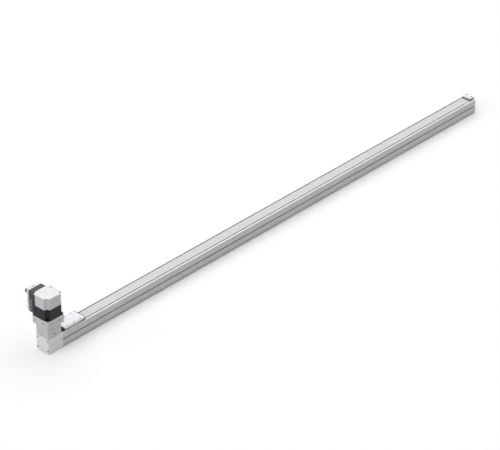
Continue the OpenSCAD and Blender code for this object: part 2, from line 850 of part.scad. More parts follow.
module connector_inserts() {
    insert_l = 4;
    for (i = [0, 1]) translate([connector_x[i], cover_y1 + connector_l - 8.5, connector_z])
        rotate([-90, 0, 0]) {
        pins = 4 + i;
        color([0.15, 0.15, 0.16]) difference() {
            cylinder(r = connector_r - 1.6 - fit, h = insert_l);
            translate([0, connector_r - 1.6, -1]) cylinder(r = 0.7, h = insert_l + 2);
        }
        color([0.85, 0.7, 0.35]) for (k = [0 : pins - 1]) rotate(360 * k / pins + 45)
            translate([2.4, 0, insert_l - eps]) cylinder(r = 0.5, h = 3.6);
    }
}

// ---- Far end ----

web_x0 = idler_x + land_r + belt_back + 2;
web_x1 = web_x0 + 5.3;
tension_y = 8;
tension_z = (belt_z + belt_z1) / 2;
tension_d = 4;

module tension_places() {
    for (s = [-1, 1]) translate([cap_x1, s * tension_y, tension_z]) rotate([0, 90, 0]) children();
}

module end_cap() {
    color([0.78, 0.78, 0.8]) difference() {
        chamfered_block([profile_x1, -half_w, 0], [cap_x1, half_w, profile_h], 0.8);
        // room for the yoke of the idler
        block([profile_x1 - 1, -channel_w / 2, yoke_z0 - 0.4],
              [max(web_x1 + 0.6, profile_x1 + 0.5), channel_w / 2, yoke_z1 + 0.4]);
        tension_places() {
            translate([0, 0, -cap_t - 1]) cylinder(r = tension_d / 2 + 0.2, h = cap_t + 2);
            translate([0, 0, -4.3]) cylinder(r = 3.8, h = 5);
        }
        corner_screw_places() {
            translate([profile_x1 - 1, 0, 0]) rotate([0, 90, 0]) cylinder(d = corner_d + 0.4, h = cap_t + 2);
            translate([cap_x1 - 3.4, 0, 0]) rotate([0, 90, 0]) cylinder(r = 3, h = 5);
        }
        block([profile_x1 - 1, -strip_w / 2 - 0.2, strip_z],
              [strip_x1 + 0.2, strip_w / 2 + 0.2, profile_h + 1]);
        for (s = [-1, 1]) translate([end_bolt_x, s * clamp_y, 0])
            post(1.5 + fit, profile_h - 7, profile_h + 1);
    }
}

module end_cap_screws() {
    color([0.25, 0.25, 0.27]) corner_screw_places() translate([cap_x1 - 3.4, 0, 0])
        rotate([0, 90, 0]) cap_screw(corner_d, cap_t - 3.4 + 12);
}

end_cover_w = 34;
seal_h = 3.2;

module end_cover() {
    color([0.88, 0.88, 0.89]) difference() {
        chamfered_block([profile_x1 - end_cover_lap, -end_cover_w / 2, profile_h + seal_h],
                        [cap_x1, end_cover_w / 2, profile_h + end_cover_h], 0.6);
        for (s = [-1, 1]) translate([end_bolt_x, s * clamp_y, profile_h + end_cover_h])
            flat_hole(3, end_cover_h);
    }
}

module end_cover_seal() {
    color([0.08, 0.08, 0.09]) difference() {
        block([profile_x1 - end_cover_lap, -end_cover_w / 2, strip_z1 + 0.05],
              [cap_x1, end_cover_w / 2, profile_h + seal_h]);
        block([strip_x1 + 0.1, -end_cover_w, strip_z], [cap_x1 + 1, end_cover_w, profile_h]);
        for (s = [-1, 1]) block([profile_x1 - end_cover_lap - 1, s > 0 ? strip_w / 2 : -end_cover_w, strip_z],
                                [cap_x1, s > 0 ? end_cover_w : -strip_w / 2, profile_h]);
        for (s = [-1, 1]) translate([end_bolt_x, s * clamp_y, 0]) post(1.6, profile_h - 2, profile_h + 10);
    }
}

yoke_z0 = rail_z + rail_h + 1;
yoke_z1 = strip_z - 1.2;
axle_r = 4;
idler_bearing_r = 8;

module idler_yoke() {
    arm_w = channel_w - 2 * run;
    arm_x0 = idler_x - flange_r + 4;
    low_z1 = pulley_z - pulley_flange_t - 0.8;
    high_z0 = pulley_z1 + pulley_flange_t + 0.8;
    color([0.6, 0.6, 0.62]) difference() {
        union() {
            block([arm_x0, -arm_w / 2, yoke_z0], [web_x1, arm_w / 2, low_z1]);
            block([arm_x0, -arm_w / 2, high_z0], [web_x1, arm_w / 2, yoke_z1]);
            block([web_x0, -arm_w / 2, yoke_z0], [web_x1, arm_w / 2, yoke_z1]);
        }
        translate([idler_x, 0, 0]) post(axle_r + fit, yoke_z0 - 1, yoke_z1 + 1);
        for (s = [-1, 1]) translate([web_x0 - 1, s * tension_y, tension_z]) rotate([0, 90, 0])
            cylinder(r = tension_d / 2 + fit, h = 8);
    }
}

module idler_axle() {
    low_z1 = pulley_z - pulley_flange_t - 0.8;
    high_z0 = pulley_z1 + pulley_flange_t + 0.8;
    color([0.7, 0.7, 0.72]) translate([idler_x, 0, 0]) {
        post(axle_r, yoke_z0, yoke_z1);
        // spacers beside the bearings
        difference() {
            union() {
                post(5.1, low_z1, belt_z);
                post(5.1, belt_z1, high_z0);
            }
            post(axle_r + fit, low_z1 - 1, high_z0 + 1);
        }
    }
}

module idler_bearing_places() {
    for (z = [belt_z, belt_z + belt_w / 2]) translate([idler_x, 0, z]) children();
}

idler_bearing_w = belt_w / 2 - 0.05;

module idler_bearing_inners() {
    color([0.75, 0.76, 0.78]) idler_bearing_places()
        bearing_inner(axle_r, idler_bearing_r, idler_bearing_w);
}

module idler_bearing_outers() {
    color([0.75, 0.76, 0.78]) idler_bearing_places()
        bearing_outer(axle_r, idler_bearing_r, idler_bearing_w, 11);
}

module tension_screws() {
    color([0.3, 0.3, 0.32]) tension_places() translate([0, 0, -4.2])
        cap_screw(tension_d, cap_x1 - 4.2 - web_x0 - 0.3);
}

module end_buffers() {
    stop_gap = 2;
    buffer_r = 2.4;
    buffer_z = runner_z1 - buffer_r - 0.5;
    color([0.1, 0.1, 0.1]) for (s = [-1, 1]) translate([0, s * 9, 0]) {
        translate([profile_x0, 0, buffer_z]) rotate([0, 90, 0])
            cylinder(r = buffer_r, h = slide_x - runner_l / 2 - stop_gap - profile_x0);
        x1 = idler_x - flange_r + 4;
        x0 = slide_x + runner_l / 2 + stroke + stop_gap;
        translate([x0, 0, buffer_z]) rotate([0, 90, 0]) cylinder(r = buffer_r, h = x1 - x0);
    }
}

// ---- Belt and pulleys ----

// One belt tooth standing on the line y = 0 towards +y, or its gap when grown
module tooth(grow) {
    polygon([[-tooth_root_w / 2 - grow, -0.2], [tooth_root_w / 2 + grow, -0.2],
             [tooth_tip_w / 2 + grow, tooth_h + grow], [-tooth_tip_w / 2 - grow, tooth_h + grow]]);
}

// Belt loop as a ring of a given radius around both pulleys
module loop(r) {
    circle(r);
    translate([idler_x, 0]) circle(r);
    translate([0, -r]) square([idler_x, 2 * r]);
}

tooth_angle = 360 / pulley_teeth;
// part of a pitch by which the teeth are shifted at the idler
idler_shift = idler_x / belt_pitch - floor(idler_x / belt_pitch);

module wrap_teeth(grow, count) {
    for (k = [0 : count - 1]) rotate(90 + k * tooth_angle)
        translate([land_r, 0]) rotate(90) tooth(grow);
}

clamp_teeth = floor((saddle_l - 6) / belt_pitch);
clamp_first = ceil((slide_x - clamp_teeth * belt_pitch / 2) / belt_pitch) * belt_pitch;

// Teeth on the clamped strand, under the saddle
module clamp_teeth_row(grow) {
    for (k = [0 : clamp_teeth - 1]) translate([clamp_first + k * belt_pitch, -land_r]) tooth(grow);
}

module belt() {
    color([0.12, 0.12, 0.12]) translate([0, 0, belt_z]) linear_extrude(belt_w) {
        difference() {
            loop(land_r + belt_back);
            loop(land_r + 0.02);
        }
        intersection() {
            loop(land_r + 0.1);
            union() {
                wrap_teeth(0, pulley_teeth / 2 + 1);
                translate([idler_x, 0]) rotate(180 + (1 - idler_shift) * tooth_angle)
                    wrap_teeth(0, pulley_teeth / 2);
                clamp_teeth_row(0);
            }
        }
    }
}

// Toothed pulley with a flange pressed on at each end
module pulley(bore_r, turn) {
    difference() {
        translate([0, 0, pulley_z]) linear_extrude(pulley_z1 - pulley_z) difference() {
            circle(land_r - 0.03);
            for (k = [0 : pulley_teeth - 1]) rotate(turn + 90 + k * tooth_angle)
                translate([land_r, 0]) rotate(90) tooth(0.06);
        }
        post(bore_r, pulley_z - 1, pulley_z1 + 1);
    }
    for (z = [pulley_z - pulley_flange_t, pulley_z1]) difference() {
        post(flange_r, z, z + pulley_flange_t);
        post(max(bore_r, shaft_r) + fit, z - 1, z + pulley_flange_t + 1);
    }
}

module drive_pulley() {
    color([0.66, 0.66, 0.68]) pulley(shaft_r + fit, 0);
}

module idler_pulley() {
    color([0.66, 0.66, 0.68]) translate([idler_x, 0, 0])
        pulley(idler_bearing_r + fit, -idler_shift * tooth_angle);
}

module pulley_shaft() {
    color([0.7, 0.7, 0.72]) {
        post(shaft_r, lower_bearing_z - 0.5, hub_z + hub_h - 0.5);
        post(6.6, pulley_z1 + pulley_flange_t + 0.05, upper_bearing_z);
    }
}

// ---- Coupling ----

// Wedge of angle a, centred on +X
module wedge(a) {
    far = 2 * hub_r;
    polygon([[0, 0], [far * cos(a / 2), -far * sin(a / 2)], [far * cos(a / 2), far * sin(a / 2)]]);
}

// Hub from z0 to z0 + h, with three jaws standing on it between two further heights
module hub(bore_r, z0, h, jaw_z0, jaw_z1, turn) {
    difference() {
        post(hub_r, min(z0, jaw_z0), max(z0 + h, jaw_z1));
        post(bore_r + fit, z0 - 1, z0 + h + 1);
        set_screw_places(z0 + 4.4) cylinder(r = 2 + fit, h = hub_r + 1);
        // room between the jaws
        translate([0, 0, jaw_z0 == z0 + h ? jaw_z0 : jaw_z0 - 1])
            linear_extrude(jaw_z1 - jaw_z0 + 1) {
                circle(7.2);
                for (k = [0 : 2]) rotate(turn + 60 + 120 * k) wedge(90);
            }
    }
}

// Places of two set screws, with +Z of each pointing outwards from the shaft
module set_screw_places(z) {
    translate([0, 0, z]) {
        rotate([0, -90, 0]) children();
        rotate([90, 0, 0]) children();
    }
}

module lower_hub() {
    color([0.6, 0.6, 0.63]) hub(shaft_r, hub_z, hub_h, hub_z + hub_h, upper_hub_z - 0.3, 0);
}

module upper_hub() {
    color([0.6, 0.6, 0.63]) hub(motor_shaft_r, upper_hub_z, upper_hub_h,
                                hub_z + hub_h + 0.3, upper_hub_z, 60);
}

module coupling_spider() {
    color([0.75, 0.2, 0.15]) translate([0, 0, hub_z + hub_h + 0.4]) linear_extrude(jaw_gap - 0.8) {
        difference() {
            circle(hub_r - 0.4);
            circle(4);
            // room for the six jaws
            for (k = [0 : 5]) rotate(60 * k) difference() {
                wedge(31.5);
                circle(6.9);
            }
        }
    }
}

module set_screw(r0, l) {
    translate([0, 0, r0]) difference() {
        cylinder(r = 2, h = l);
        translate([0, 0, l - 2]) cylinder(d = 2.2, h = 3, $fn = 6);
    }
}

module hub_screws() {
    color([0.25, 0.25, 0.27]) {
        set_screw_places(hub_z + 4.4) set_screw(shaft_r + 0.05, 8);
        set_screw_places(upper_hub_z + 4.4) set_screw(motor_shaft_r + 0.05, 8);
    }
}

// ---- Motor shaft ----

rotor_z0 = stack_z + 3.5;
rotor_z1 = bell_z - 3.5;
rotor_teeth = 50;

module rotor_cup(z0, z1, turn) {
    tip_r = pole_r - 0.15;
    root_r = tip_r - 0.7;
    step = 360 / rotor_teeth;
    translate([0, 0, z0]) linear_extrude(z1 - z0) difference() {
        corners = [[0, root_r], [0.12, tip_r], [0.42, tip_r], [0.54, root_r]];
        polygon([for (k = [0 : rotor_teeth - 1], c = corners)
            c[1] * [cos(turn + step * (k + c[0])), sin(turn + step * (k + c[0]))]]);
        circle(motor_shaft_r + fit);
    }
}

module rotor() {
    magnet_h = 2;
    mid = (rotor_z0 + rotor_z1) / 2;
    color([0.5, 0.5, 0.52]) {
        rotor_cup(rotor_z0, mid - magnet_h / 2, 0);
        rotor_cup(mid + magnet_h / 2, rotor_z1, 180 / rotor_teeth);
        difference() {
            post(pole_r - 1.5, mid - magnet_h / 2, mid + magnet_h / 2);
            post(motor_shaft_r + fit, mid - magnet_h, mid + magnet_h);
        }
    }
}

encoder_z = rear_bearing_z + motor_bearing_w + 8;

module motor_shaft() {
    color([0.7, 0.7, 0.72]) {
        post(motor_shaft_r, upper_hub_z + 1.5, rear_bearing_z + motor_bearing_w);
        post(rear_shaft_r, rear_bearing_z, encoder_z + 3);
    }
}

module encoder_disc() {
    color([0.55, 0.6, 0.62]) difference() {
        union() {
            post(12, encoder_z, encoder_z + 1);
            post(5, encoder_z - 3, encoder_z + 1);
        }
        post(rear_shaft_r + fit, encoder_z - 4, encoder_z + 2);
    }
}

module shaft_bearing_inners() {
    color([0.75, 0.76, 0.78]) {
        translate([0, 0, lower_bearing_z]) bearing_inner(shaft_r, 13, bearing_w);
        translate([0, 0, upper_bearing_z]) bearing_inner(shaft_r, 13, bearing_w);
        translate([0, 0, front_bearing_z]) bearing_inner(motor_shaft_r, motor_bearing_r, motor_bearing_w);
        translate([0, 0, rear_bearing_z]) bearing_inner(motor_shaft_r, motor_bearing_r, motor_bearing_w);
    }
}

// ---- Slide ----

plate_bolt_x = 18;
plate_bolt_y = 10;
foot_bolt = 12.4;
slide_bevel = 2.4;

module plate_bolt_places() {
    for (sx = [-1, 1], sy = [-1, 1])
        translate([slide_x + sx * plate_bolt_x, sy * plate_bolt_y, 0]) children();
}

module foot_bolt_places() {
    for (sx = [-1, 1], sy = [-1, 1])
        translate([slide_x + sx * 10, sy * foot_bolt, 0]) children();
}

module slide_plate() {
    color([0.9, 0.9, 0.91]) difference() {
        along_x(slide_x - slide_l / 2, slide_x + slide_l / 2) polygon([
            [1.2 - half_w, slide_z], [half_w - 1.2, slide_z], [half_w, slide_z + 1.2],
            [half_w, slide_z1 - slide_bevel], [half_w - slide_bevel, slide_z1],
            [slide_bevel - half_w, slide_z1], [-half_w, slide_z1 - slide_bevel], [-half_w, slide_z + 1.2]
        ]);
        for (i = [-1 : 1], s = [-1, 1]) translate([slide_x + i * thread_x, s * thread_y / 2, 0])
            post(thread_d / 2, slide_z - 1, slide_z1 + 1);
        plate_bolt_places() post(1.5 + fit, slide_z - 1, slide_z + 4.5);
        slide_cap_screw_places() translate([0, 0, -1]) cylinder(r = 1.25 + fit, h = 9);
    }
}

// Places of the screws in the slide end caps, with +Z pointing into the plate
module slide_cap_screw_places() {
    for (s = [-1, 1], y = [-14, 14]) translate([slide_x + s * slide_l / 2, y, slide_z + slide_t / 2])
        rotate([0, -s * 90, 0]) children();
}

module slide_end_caps() {
    color([0.07, 0.07, 0.08]) difference() {
        for (s = [-1, 1]) translate([slide_x + s * (slide_l + slide_cap_t) / 2, 0, 0])
            rotate([90, 0, 90]) linear_extrude(slide_cap_t, center = true)
                translate([0, (web_z + slide_z1 - 1.2) / 2])
                    chamfered_rect(profile_w - 1, slide_z1 - 1.2 - web_z, 1.6);
        slide_cap_screw_places() translate([0, 0, -slide_cap_t]) flip() flat_hole(2.5, slide_cap_t + 1);
    }
}

saddle_x0 = slide_x - saddle_l / 2;
saddle_x1 = slide_x + saddle_l / 2;

module saddle() {
    leg_y0 = strip_w / 2 + 0.8;
    leg_y1 = mouth_y - 0.6;
    color([0.7, 0.7, 0.72]) difference() {
        along_x(saddle_x0, saddle_x1) {
            // foot on the runner, tongue between the belt strands, bar under the strip
            translate([-runner_w / 2, runner_z1]) square([runner_w, foot_t]);
            translate([-tongue_w / 2, runner_z1]) square([tongue_w, bar_z1 - runner_z1]);
            translate([-leg_y1, bar_z]) square([2 * leg_y1, bar_t]);
            // legs through the slots, web over the strip
            for (s = [-1, 1]) translate([s > 0 ? leg_y0 : -leg_y1, bar_z])
                square([leg_y1 - leg_y0, web_z + 1 - bar_z]);
            translate([-mouth_y - 2.7, web_z]) square([2 * (mouth_y + 2.7), web_t]);
        }
        foot_bolt_places() translate([0, 0, runner_z1 + foot_t]) flat_hole(3, 4);
        plate_bolt_places() translate([0, 0, web_z]) flip() flat_hole(3, web_t + 1);
        clamp_screw_places() cylinder(r = 1.25 + fit, h = 9);
    }
    // toothed block that carries the clamped strand
    color([0.7, 0.7, 0.72]) translate([0, 0, belt_z]) linear_extrude(belt_w) difference() {
        translate([clamp_x0, -land_r + 0.05]) square([clamp_l, land_r - tongue_w / 2 + 0.95]);
        clamp_teeth_row(0.08);
    }
}

clamp_l = (clamp_teeth - 1) * belt_pitch;
clamp_x0 = clamp_first;
clamp_y0 = channel_w / 2 - 0.4;
clamp_screw_z = bar_z - 2.85;

// Places of the belt clamp screws on the tongue, with +Z pointing into it
module clamp_screw_places() {
    for (i = [-1 : 1]) translate([clamp_x0 + clamp_l / 2 + i * 15, -tongue_w / 2 - 1, clamp_screw_z])
        rotate([-90, 0, 0]) children();
}

module belt_clamp() {
    color([0.65, 0.65, 0.68]) difference() {
        union() {
            block([clamp_x0, -clamp_y0, belt_z - 0.4],
                  [clamp_x0 + clamp_l, -land_r - belt_back - 0.05, bar_z - 0.2]);
            block([clamp_x0, -clamp_y0, belt_z1 + 0.15],
                  [clamp_x0 + clamp_l, -tongue_w / 2, bar_z - 0.2]);
        }
        clamp_screw_places() translate([0, 0, 1 + tongue_w / 2 - clamp_y0]) flip() flat_hole(2.5, 9);
    }
}

module belt_clamp_screws() {
    color([0.25, 0.25, 0.27]) clamp_screw_places()
        translate([0, 0, 1 + tongue_w / 2 - clamp_y0]) flip() flat_screw(2.5, 12);
}

module saddle_screws() {
    color([0.25, 0.25, 0.27]) {
        foot_bolt_places() translate([0, 0, runner_z1 + foot_t]) flat_screw(3, 8);
        plate_bolt_places() translate([0, 0, web_z]) flip() flat_screw(3, web_t + 4);
        slide_cap_screw_places() translate([0, 0, -slide_cap_t]) flip()
            flat_screw(2.5, slide_cap_t + 7);
    }
}

// ---- Runner ----

runner_cap_l = 6;
runner_z0 = rail_z + 4;
rail_play = 0.15;

module runner_section(play) {
    difference() {
        translate([-runner_w / 2, runner_z0]) square([runner_w, runner_z1 - runner_z0]);
        rail_section(play);
        translate([-rail_w / 2 - play, rail_z - 1]) square([rail_w + 2 * play, 2]);
    }
}

module runner_block() {
    color([0.6, 0.61, 0.64]) difference() {
        along_x(slide_x - runner_l / 2 + runner_cap_l, slide_x + runner_l / 2 - runner_cap_l)
            runner_section(rail_play);
        foot_bolt_places() post(1.5 + fit, runner_z1 - 6.5, runner_z1 + 1);
        // return bores of the ball rows
        for (s = [-1, 1]) translate([slide_x - runner_l, s * 13.2, runner_z0 + 4.5]) rotate([0, 90, 0])
            cylinder(r = 1.1, h = 2 * runner_l);
    }
}

module runner_end_caps() {
    color([0.15, 0.4, 0.3]) for (s = [-1, 1]) {
        x = slide_x + s * (runner_l - runner_cap_l) / 2;
        along_x(x - runner_cap_l / 2, x + runner_cap_l / 2) difference() {
            translate([-runner_w / 2 + 0.4, runner_z0 + 0.3])
                square([runner_w - 0.8, runner_z1 - runner_z0 - 0.6]);
            rail_section(0.3);
        }
    }
}

// ---- Assembly ----

profile();
guide_rail();
rail_screws();
cover_strip();
drive_block();
block_screws();
strip_clamp();
strip_clamp_screws();
coupling_housing();
housing_screws();
access_plugs();
bearing_outers();
motor_flange();
motor_screws();
stator_stack();
stator_coils();
end_bell();
rear_bearing_plate();
end_bell_screws();
electronics_frame();
control_panel();
circuit_board();
electronics_cover();
electronics_screws();
power_connector();
signal_connector();
connector_inserts();
end_cap();
end_cap_screws();
end_cover();
end_cover_seal();
idler_yoke();
idler_axle();
idler_bearing_inners();
tension_screws();
end_buffers();
belt();
slide_plate();
slide_end_caps();
saddle();
saddle_screws();
runner_block();
runner_end_caps();
belt_clamp();
belt_clamp_screws();
drive_pulley();
pulley_shaft();
lower_hub();
coupling_spider();
upper_hub();
hub_screws();
motor_shaft();
rotor();
encoder_disc();
shaft_bearing_inners();
idler_pulley();
idler_bearing_outers();
key_top();
key_middle();
key_bottom();
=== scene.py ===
import json
import math

import bmesh
import bpy
from mathutils import Matrix, Vector


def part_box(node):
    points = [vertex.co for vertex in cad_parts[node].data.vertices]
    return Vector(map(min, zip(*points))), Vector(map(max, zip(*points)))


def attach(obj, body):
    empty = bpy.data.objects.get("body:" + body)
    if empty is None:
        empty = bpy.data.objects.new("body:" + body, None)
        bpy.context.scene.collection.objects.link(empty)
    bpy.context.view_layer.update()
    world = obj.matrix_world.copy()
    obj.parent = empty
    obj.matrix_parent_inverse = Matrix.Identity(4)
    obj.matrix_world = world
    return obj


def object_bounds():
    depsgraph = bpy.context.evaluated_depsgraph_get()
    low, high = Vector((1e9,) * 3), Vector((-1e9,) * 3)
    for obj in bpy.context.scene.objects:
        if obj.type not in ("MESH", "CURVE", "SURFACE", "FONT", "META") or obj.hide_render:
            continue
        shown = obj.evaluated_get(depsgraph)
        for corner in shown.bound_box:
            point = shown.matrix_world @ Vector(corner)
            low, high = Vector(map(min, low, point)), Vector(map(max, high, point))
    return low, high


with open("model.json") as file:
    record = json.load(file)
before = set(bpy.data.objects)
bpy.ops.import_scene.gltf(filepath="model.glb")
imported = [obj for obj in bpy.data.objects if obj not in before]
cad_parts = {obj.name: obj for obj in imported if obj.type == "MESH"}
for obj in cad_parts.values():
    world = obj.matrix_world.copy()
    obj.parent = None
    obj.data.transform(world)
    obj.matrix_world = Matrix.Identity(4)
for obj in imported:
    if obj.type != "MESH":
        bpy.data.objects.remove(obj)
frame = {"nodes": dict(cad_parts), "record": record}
cad_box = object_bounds()

MM = 0.001
SMALL_EDGE = 0.25 * MM      # radius of a broken edge on machined parts
SOFT_EDGE = 0.5 * MM        # radius of an edge on cast and moulded parts
NOISE_ROUGHNESS = 0.55
EDGE_WEAR_AND_HIGHLIGHT = 0.5            # share of the bright metal on edges: partly wear, partly a painted highlight along them
PLASTIC_WEAR = 0.25         # share of the lighter, rubbed colour on the edges of plastic


# ---- Material building ----

class Finish:
    """A material with one principled shader, and short ways to add nodes to it."""

    def __init__(self, name):
        self.material = bpy.data.materials.new(name)
        self.material.use_nodes = True
        self.nodes = self.material.node_tree.nodes
        self.links = self.material.node_tree.links
        self.shader = self.nodes["Principled BSDF"]
        self.place = self.nodes.new("ShaderNodeTexCoord").outputs["Object"]

    def link(self, output, socket):
        self.links.new(output, socket)

    def put(self, value, socket):
        """Set a socket to a number or colour, or link an output to it."""
        if isinstance(value, bpy.types.NodeSocket):
            self.link(value, socket)
        else:
            socket.default_value = value

    def stretch(self, scale, place=None):
        """Coordinates scaled along each axis: a small scale gives long marks."""
        node = self.nodes.new("ShaderNodeMapping")
        self.link(place or self.place, node.inputs["Vector"])
        node.inputs["Scale"].default_value = scale
        return node.outputs["Vector"]

    def noise(self, place, scale=1.0, detail=3.0):
        node = self.nodes.new("ShaderNodeTexNoise")
        self.link(place, node.inputs["Vector"])
        node.inputs["Scale"].default_value = scale
        node.inputs["Detail"].default_value = detail
        node.inputs["Roughness"].default_value = NOISE_ROUGHNESS
        return node.outputs["Fac"]

    def cells(self, place, scale):
        node = self.nodes.new("ShaderNodeTexVoronoi")
        self.link(place, node.inputs["Vector"])
        node.inputs["Scale"].default_value = scale
        return node.outputs["Distance"]

    def bands(self, direction, pitch, distortion=0.0):
        """Parallel ridges across an axis, one for each pitch."""
        node = self.nodes.new("ShaderNodeTexWave")
        node.bands_direction = direction
        self.link(self.place, node.inputs["Vector"])
        node.inputs["Scale"].default_value = math.pi / (10 * pitch)
        node.inputs["Distortion"].default_value = distortion
        return node.outputs["Fac"]

    def ramp(self, value, low, high, to_low, to_high):
        """Map a value from one range to another, kept inside it."""
        node = self.nodes.new("ShaderNodeMapRange")
        self.link(value, node.inputs["Value"])
        node.inputs["From Min"].default_value = low
        node.inputs["From Max"].default_value = high
        node.inputs["To Min"].default_value = to_low
        node.inputs["To Max"].default_value = to_high
        return node.outputs["Result"]

    def math(self, operation, a, b=0.0):
        node = self.nodes.new("ShaderNodeMath")
        node.operation = operation
        self.put(a, node.inputs[0])
        self.put(b, node.inputs[1])
        return node.outputs["Value"]

    def mix(self, factor, a, b):
        node = self.nodes.new("ShaderNodeMix")
        node.data_type = "RGBA"
        self.put(factor, node.inputs["Factor"])
        self.put(a, node.inputs["A"])
        self.put(b, node.inputs["B"])
        return node.outputs["Result"]

    def round_edges(self, radius):
        node = self.nodes.new("ShaderNodeBevel")
        node.samples = 4
        node.inputs["Radius"].default_value = radius
        return node.outputs["Normal"]

    def edges(self, radius):
        """A mask that is 1 along sharp edges and 0 on flat faces."""
        true_normal = self.nodes.new("ShaderNodeNewGeometry").outputs["True Normal"]
        node = self.nodes.new("ShaderNodeVectorMath")
        node.operation = "DOT_PRODUCT"
        self.link(self.round_edges(radius), node.inputs[0])
        self.link(true_normal, node.inputs[1])
        return self.ramp(node.outputs["Value"], 0.99, 0.8, 0.0, 1.0)

    def relief(self, height, depth, radius):
        """Bump of a given depth in metres over edges rounded by a radius."""
        node = self.nodes.new("ShaderNodeBump")
        node.inputs["Strength"].default_value = 1.0
        node.inputs["Distance"].default_value = depth
        self.link(height, node.inputs["Height"])
        self.link(self.round_edges(radius), node.inputs["Normal"])
        self.link(node.outputs["Normal"], self.shader.inputs["Normal"])

    def surface(self, colour, roughness, metallic, **more):
        self.put(colour, self.shader.inputs["Base Color"])
        self.put(roughness, self.shader.inputs["Roughness"])
        self.shader.inputs["Metallic"].default_value = metallic
        for name, value in more.items():
            self.shader.inputs[name.replace("_", " ")].default_value = value
        return self.material


def shade(colour, factor):
    """A colour made lighter or darker, with its alpha."""
    return (*(min(1.0, c * factor) for c in colour), 1.0)


def metal(name, colour, roughness, grain, depth, metallic=0.25, edge=SMALL_EDGE, turned=None):
    """Metal with a grain that is long where the grain scale is small, and brighter edges that are
    partly wear and partly painted highlight.

    turned is the X and Y of an axis: the grain then runs in rings around it."""
    f = Finish(name)
    place = f.place if turned is None else rings(f, turned)
    lines = f.noise(f.stretch(grain, place), detail=4.0)
    cloud = f.noise(f.place, scale=40.0, detail=2.0)
    base = f.mix(f.ramp(cloud, 0.3, 0.7, 0.0, 1.0), shade(colour, 0.95), shade(colour, 1.03))
    base = f.mix(f.ramp(lines, 0.35, 0.65, 0.0, 0.35), base, shade(colour, 0.86))
    # brighter edges: partly wear, partly a painted highlight along them
    base = f.mix(f.math("MULTIPLY", f.edges(edge), EDGE_WEAR_AND_HIGHLIGHT), base, shade(colour, 1.25))
    spread = f.math("MULTIPLY", f.math("SUBTRACT", lines, 0.5), 0.35)
    rough = f.math("ADD", f.math("ADD", spread, roughness), f.ramp(cloud, 0.3, 0.7, -0.03, 0.04))
    f.relief(lines, depth, edge)
    return f.surface(base, rough, metallic)


def rings(f, centre):
    """Coordinates of distance from an upright axis and of height, for turned parts."""
    split = f.nodes.new("ShaderNodeSeparateXYZ")
    f.link(f.place, split.inputs["Vector"])
    x = f.math("SUBTRACT", split.outputs["X"], centre[0])
    y = f.math("SUBTRACT", split.outputs["Y"], centre[1])
    square = f.math("ADD", f.math("MULTIPLY", x, x), f.math("MULTIPLY", y, y))
    join = f.nodes.new("ShaderNodeCombineXYZ")
    f.link(f.math("SQRT", square), join.inputs["X"])
    f.link(split.outputs["Z"], join.inputs["Z"])
    return join.outputs["Vector"]


def moulded(name, colour, roughness, texture=900.0, depth=0.02 * MM):
    """Moulded plastic or rubber: fine eroded texture, slight mottling, edges rubbed smooth."""
    f = Finish(name)
    pits = f.cells(f.place, texture)
    cloud = f.noise(f.place, scale=70.0, detail=3.0)
    base = f.mix(f.ramp(cloud, 0.3, 0.7, 0.0, 1.0), shade(colour, 0.93), shade(colour, 1.06))
    rubbed = f.math("MULTIPLY", f.edges(SOFT_EDGE), PLASTIC_WEAR)
    base = f.mix(rubbed, base, shade(colour, 1.4))
    rough = f.math("SUBTRACT", f.ramp(pits, 0.0, 0.6, roughness + 0.06, roughness - 0.04),
                   f.math("MULTIPLY", rubbed, 0.3))
    f.relief(pits, depth, SOFT_EDGE)
    return f.surface(base, rough, 0.0)


def laminated(name, colour, roughness, pitch, depth, metallic):
    """Stack of thin sheets seen edge on, lying flat, with a coat over them."""
    f = Finish(name)
    sheets = f.bands("Z", pitch)
    cloud = f.noise(f.stretch((60.0, 60.0, 900.0)), detail=3.0)
    base = f.mix(f.ramp(cloud, 0.3, 0.7, 0.0, 1.0), shade(colour, 0.85), shade(colour, 1.2))
    base = f.mix(f.ramp(sheets, 0.0, 0.25, 0.5, 0.0), base, shade(colour, 0.4))
    base = f.mix(f.math("MULTIPLY", f.edges(SOFT_EDGE), 0.5), base, shade(colour, 2.2))
    rough = f.ramp(cloud, 0.3, 0.7, roughness - 0.05, roughness + 0.08)
    f.relief(sheets, depth, SOFT_EDGE)
    return f.surface(base, rough, metallic, Specular_IOR_Level=0.3)


def wound(name, colour):
    """Enamelled wire wound on upright poles."""
    f = Finish(name)
    wires = f.bands("Z", 0.45 * MM, distortion=0.4)
    cloud = f.noise(f.place, scale=300.0)
    base = f.mix(f.ramp(cloud, 0.35, 0.65, 0.0, 1.0), shade(colour, 0.75), shade(colour, 1.15))
    base = f.mix(f.ramp(wires, 0.0, 0.3, 0.7, 0.0), base, shade(colour, 0.25))
    f.relief(wires, 0.2 * MM, SMALL_EDGE)
    return f.surface(base, f.ramp(cloud, 0.3, 0.7, 0.25, 0.4), 0.8, Coat_Weight=0.5)


def board(name, colour):
    """Lacquered circuit board with tracks under the lacquer."""
    f = Finish(name)
    bricks = f.nodes.new("ShaderNodeTexBrick")
    turn = f.nodes.new("ShaderNodeMapping")
    turn.inputs["Rotation"].default_value = (math.pi / 2, 0.0, 0.0)
    f.link(f.place, turn.inputs["Vector"])
    f.link(turn.outputs["Vector"], bricks.inputs["Vector"])
    bricks.inputs["Scale"].default_value = 260.0
    bricks.inputs["Mortar Size"].default_value = 0.06
    tracks = bricks.outputs["Fac"]
    cloud = f.noise(f.place, scale=200.0)
    base = f.mix(f.ramp(cloud, 0.3, 0.7, 0.0, 1.0), shade(colour, 0.85), shade(colour, 1.1))
    base = f.mix(f.math("MULTIPLY", tracks, 0.6), base, shade(colour, 1.9))
    f.relief(tracks, 0.05 * MM, SMALL_EDGE)
    return f.surface(base, f.ramp(cloud, 0.3, 0.7, 0.25, 0.4), 0.0, Coat_Weight=0.4)


